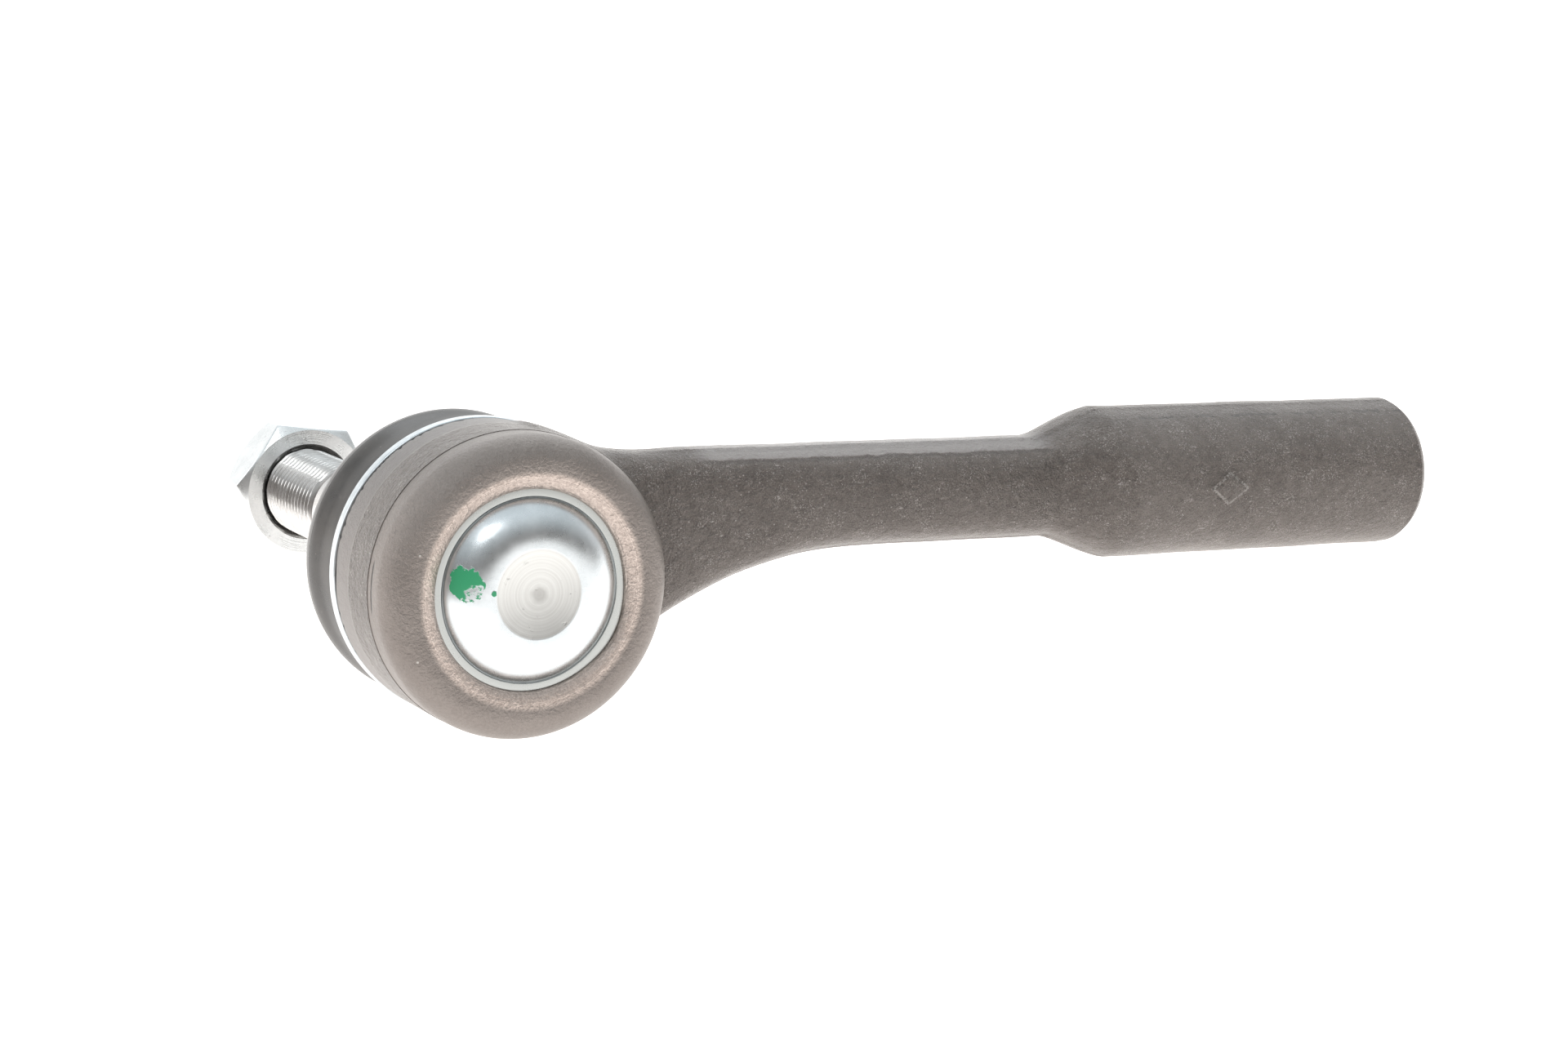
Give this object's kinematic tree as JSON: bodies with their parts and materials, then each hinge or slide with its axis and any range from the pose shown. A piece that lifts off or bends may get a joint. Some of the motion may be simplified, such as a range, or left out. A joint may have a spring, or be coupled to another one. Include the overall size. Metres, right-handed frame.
{
  "type": "tie rod end",
  "caption": "Forged steering tie rod end: threaded barrel, offset arm, ball stud that swings and spins in a booted socket, and a self-locking nut.",
  "frame": {"origin": "centre of the flat on the outside of the pressed cover, on the axis of the ball stud", "axes": "+Y along the ball stud from the cover to the nut, +X along the shank to the open end of the barrel, +Z towards the side the arm is offset to"},
  "size_m": [0.1808, 0.1084, 0.0438],
  "materials": {
    "forged_steel": "matte phosphated forging skin",
    "zinc_steel": "bright zinc plate",
    "spring_steel": "oiled dark steel",
    "stud_steel": "turned bright steel",
    "bearing_plastic": "moulded",
    "insert_plastic": "moulded",
    "boot_rubber": "satin"
  },
  "bodies": {
    "socket": {"housing": "forged_steel", "end_cover": "zinc_steel", "preload_disc_spring": "spring_steel", "cover_side_bearing_shell": "bearing_plastic", "stud_side_bearing_shell": "bearing_plastic", "boot_clamp_ring": "zinc_steel"},
    "boot": {"dust_boot": "boot_rubber"},
    "boot_neck": {"boot_neck_ring": "zinc_steel"},
    "stud": {"ball_stud": "stud_steel"},
    "insert": {"nut_locking_insert": "insert_plastic"},
    "nut": {"lock_nut": "zinc_steel"}
  },
  "joints": [
    {"name": "stud_swing_x", "type": "hinge", "parent": "socket", "child": "boot", "pos_m": [0, 0.0198, 0], "axis": [1, 0, 0], "range_deg": [-18, 18], "deforming": ["dust_boot"]},
    {"name": "stud_swing_z", "type": "hinge", "parent": "boot", "child": "boot_neck", "pos_m": [0, 0.0198, 0], "axis": [0, 0, 1], "range_deg": [-18, 18], "deforming": ["dust_boot"]},
    {"name": "stud_spin", "type": "hinge", "parent": "boot_neck", "child": "stud", "pos_m": [0, 0.0198, 0], "axis": [0, 1, 0], "continuous": true},
    {"name": "nut_travel", "type": "slide", "parent": "stud", "child": "insert", "axis": [0, -1, 0], "range_m": [0, 0.0165]},
    {"name": "nut_spin", "type": "hinge", "parent": "insert", "child": "nut", "pos_m": [0, 0.0944, 0], "axis": [0, -1, 0], "range_deg": [0, 3960]}
  ],
  "couplings": [
    {"joint": "nut_spin", "follows": "nut_travel", "rad_per_m": 4188.8}
  ]
}
